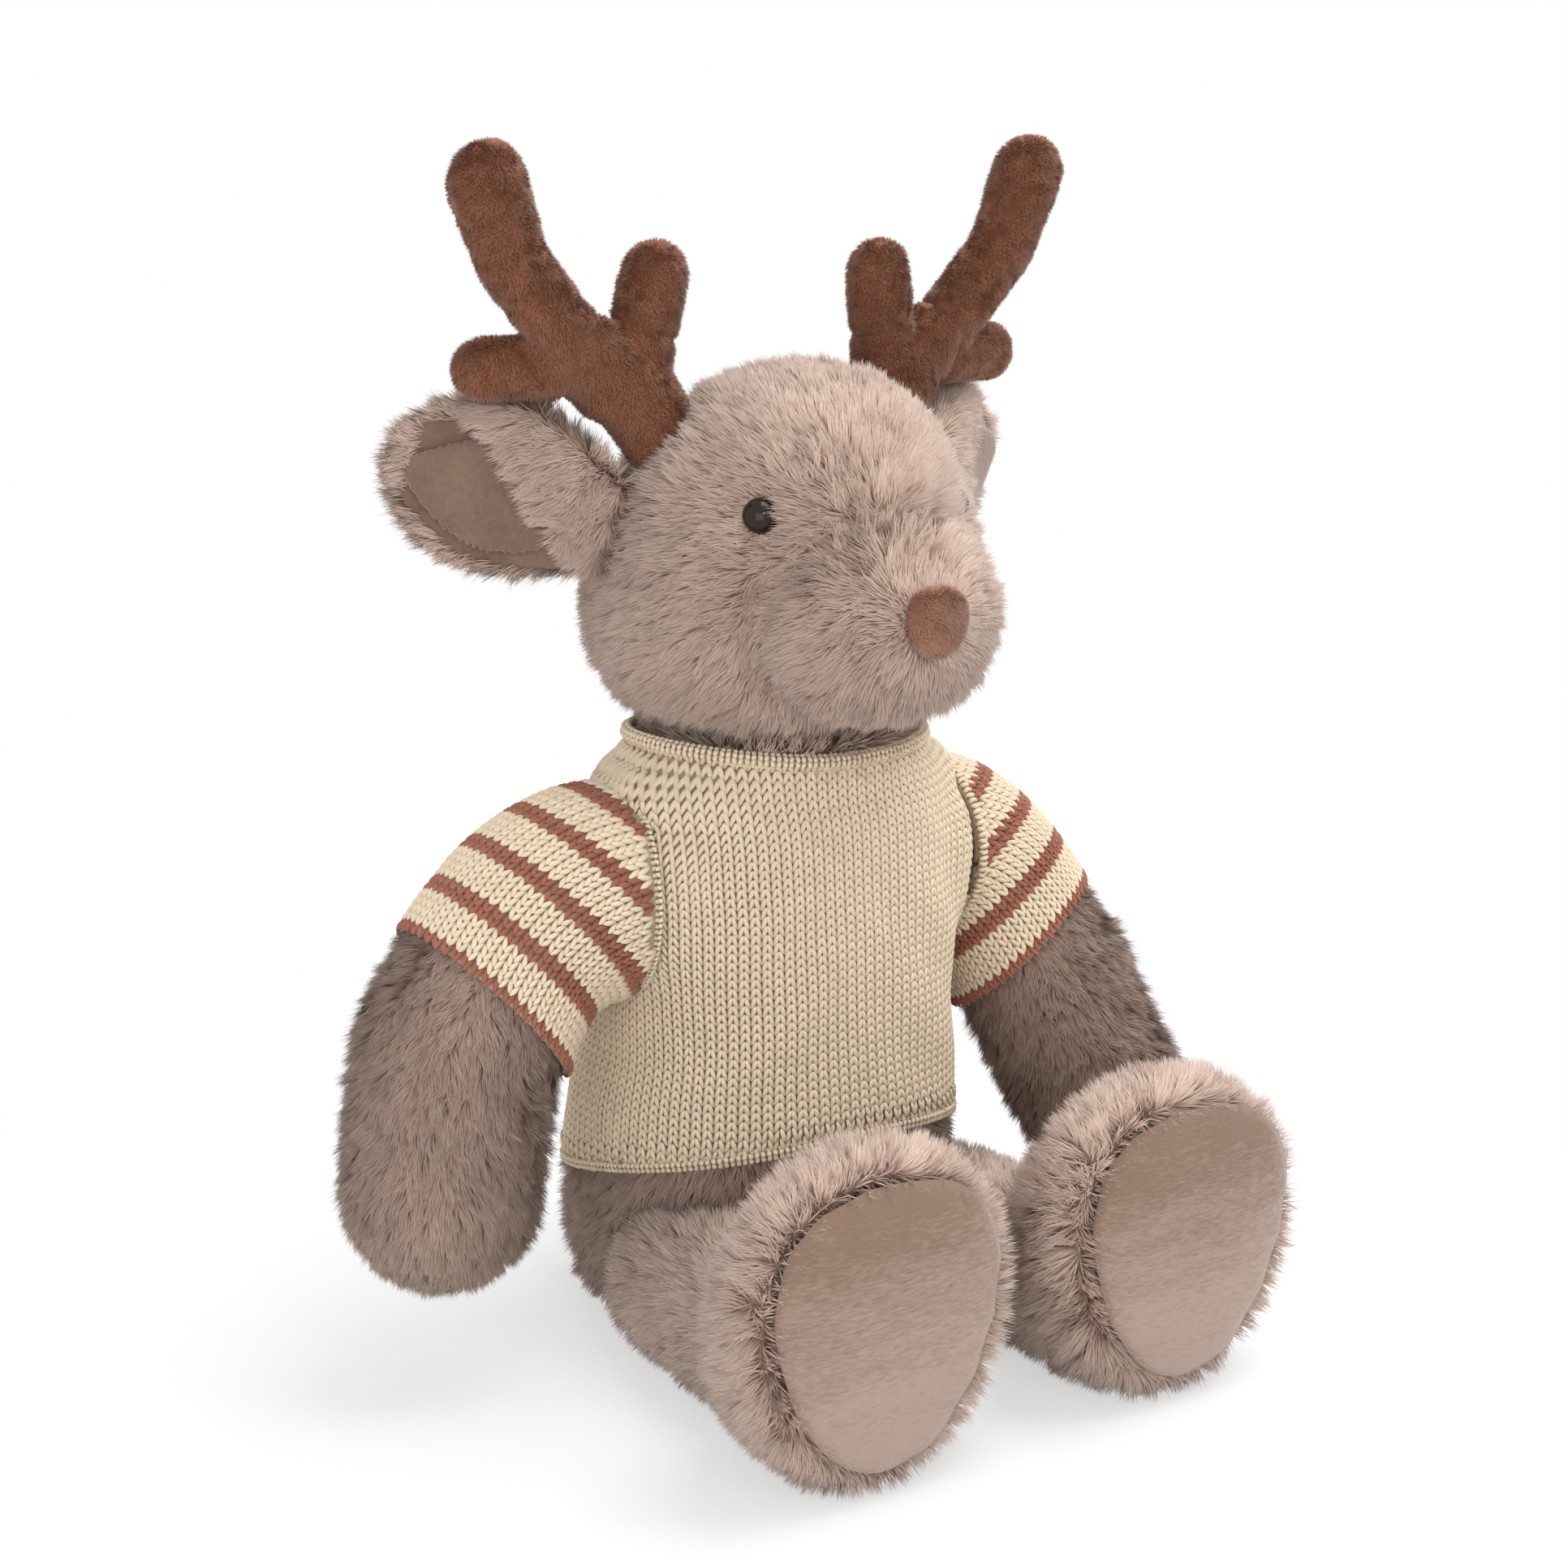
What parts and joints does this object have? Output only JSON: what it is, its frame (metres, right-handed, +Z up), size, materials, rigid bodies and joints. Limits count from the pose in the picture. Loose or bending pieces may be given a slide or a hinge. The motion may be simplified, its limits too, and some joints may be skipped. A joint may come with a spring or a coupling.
{
  "type": "plush deer",
  "caption": "Sitting plush deer with felt antlers, lined ears, velour soles and a short-sleeved knitted sweater; neck, arms, legs and ears move.",
  "frame": {"origin": "on the floor, on the deer's plane of symmetry, below the neck; the seat is behind it and the soles are in front", "axes": "+Z up, -Y the way the deer faces, +X to the deer's left"},
  "size_m": [0.2159, 0.181, 0.2936],
  "materials": {
    "fur": "taupe plush with a 7 mm pile",
    "velour": "short beige velour",
    "ear_velour": "short brown velour",
    "felt": "red-brown minky with a nap",
    "nose_velour": "brown velour",
    "knit": "oatmeal stocking stitch, rust stripes on the sleeves",
    "stuffing": "white polyester fibre",
    "pellets": "cloth bag of plastic pellets",
    "eye": "glossy dark brown",
    "washer": "white lock washer"
  },
  "bodies": {
    "torso": {"torso_skin": "fur", "torso_filling": "stuffing", "pellet_bag": "pellets", "sweater_front": "knit", "sweater_back": "knit", "sweater_collar": "knit", "tail": "fur"},
    "neck": {"neck_skin": "fur", "neck_filling": "stuffing"},
    "head": {"head_skin": "fur", "muzzle_skin": "fur", "head_filling": "stuffing", "nose_pad": "nose_velour", "eye_right": "eye", "eye_left": "eye", "eye_washer_right": "washer", "eye_washer_left": "washer", "antler_right": "felt", "antler_left": "felt"},
    "ear_right": {"ear_fur_right": "fur", "ear_lining_right": "ear_velour"},
    "ear_left": {"ear_fur_left": "fur", "ear_lining_left": "ear_velour"},
    "arm_right": {"arm_skin_right": "fur", "arm_filling_right": "stuffing", "sleeve_right": "knit"},
    "arm_left": {"arm_skin_left": "fur", "arm_filling_left": "stuffing", "sleeve_left": "knit"},
    "leg_right": {"leg_skin_right": "fur", "leg_filling_right": "stuffing", "sole_pad_right": "velour"},
    "leg_left": {"leg_skin_left": "fur", "leg_filling_left": "stuffing", "sole_pad_left": "velour"}
  },
  "joints": [
    {"name": "neck_turn", "type": "hinge", "parent": "torso", "child": "neck", "pos_m": [0, 0.002, 0.15], "axis": [0, 0, 1], "range_deg": [-60, 60]},
    {"name": "head_nod", "type": "hinge", "parent": "neck", "child": "head", "pos_m": [0, 0.002, 0.15], "axis": [1, 0, 0], "range_deg": [-12, 12]},
    {"name": "ear_right_flop", "type": "hinge", "parent": "head", "child": "ear_right", "pos_m": [-0.04789, 0.00406, 0.20383], "axis": [0.3047, -0.1553, 0.9397], "range_deg": [-15, 8]},
    {"name": "ear_left_flop", "type": "hinge", "parent": "head", "child": "ear_left", "pos_m": [0.04789, 0.00406, 0.20383], "axis": [0.2312, 0.1501, -0.9613], "range_deg": [-15, 8]},
    {"name": "arm_right_swing", "type": "hinge", "parent": "torso", "child": "arm_right", "pos_m": [-0.04388, 0.0041, 0.11567], "axis": [-0.9781, 0.2079, 0], "range_deg": [-35, 100]},
    {"name": "arm_left_swing", "type": "hinge", "parent": "torso", "child": "arm_left", "pos_m": [0.04388, 0.0041, 0.11567], "axis": [-0.9781, -0.2079, 0], "range_deg": [-20, 65]},
    {"name": "leg_right_swing", "type": "hinge", "parent": "torso", "child": "leg_right", "pos_m": [-0.0355, -0.01383, 0.0195], "axis": [1, 0, 0], "range_deg": [-6, 75]},
    {"name": "leg_left_swing", "type": "hinge", "parent": "torso", "child": "leg_left", "pos_m": [0.0355, -0.01383, 0.0195], "axis": [1, 0, 0], "range_deg": [-6, 75]}
  ]
}
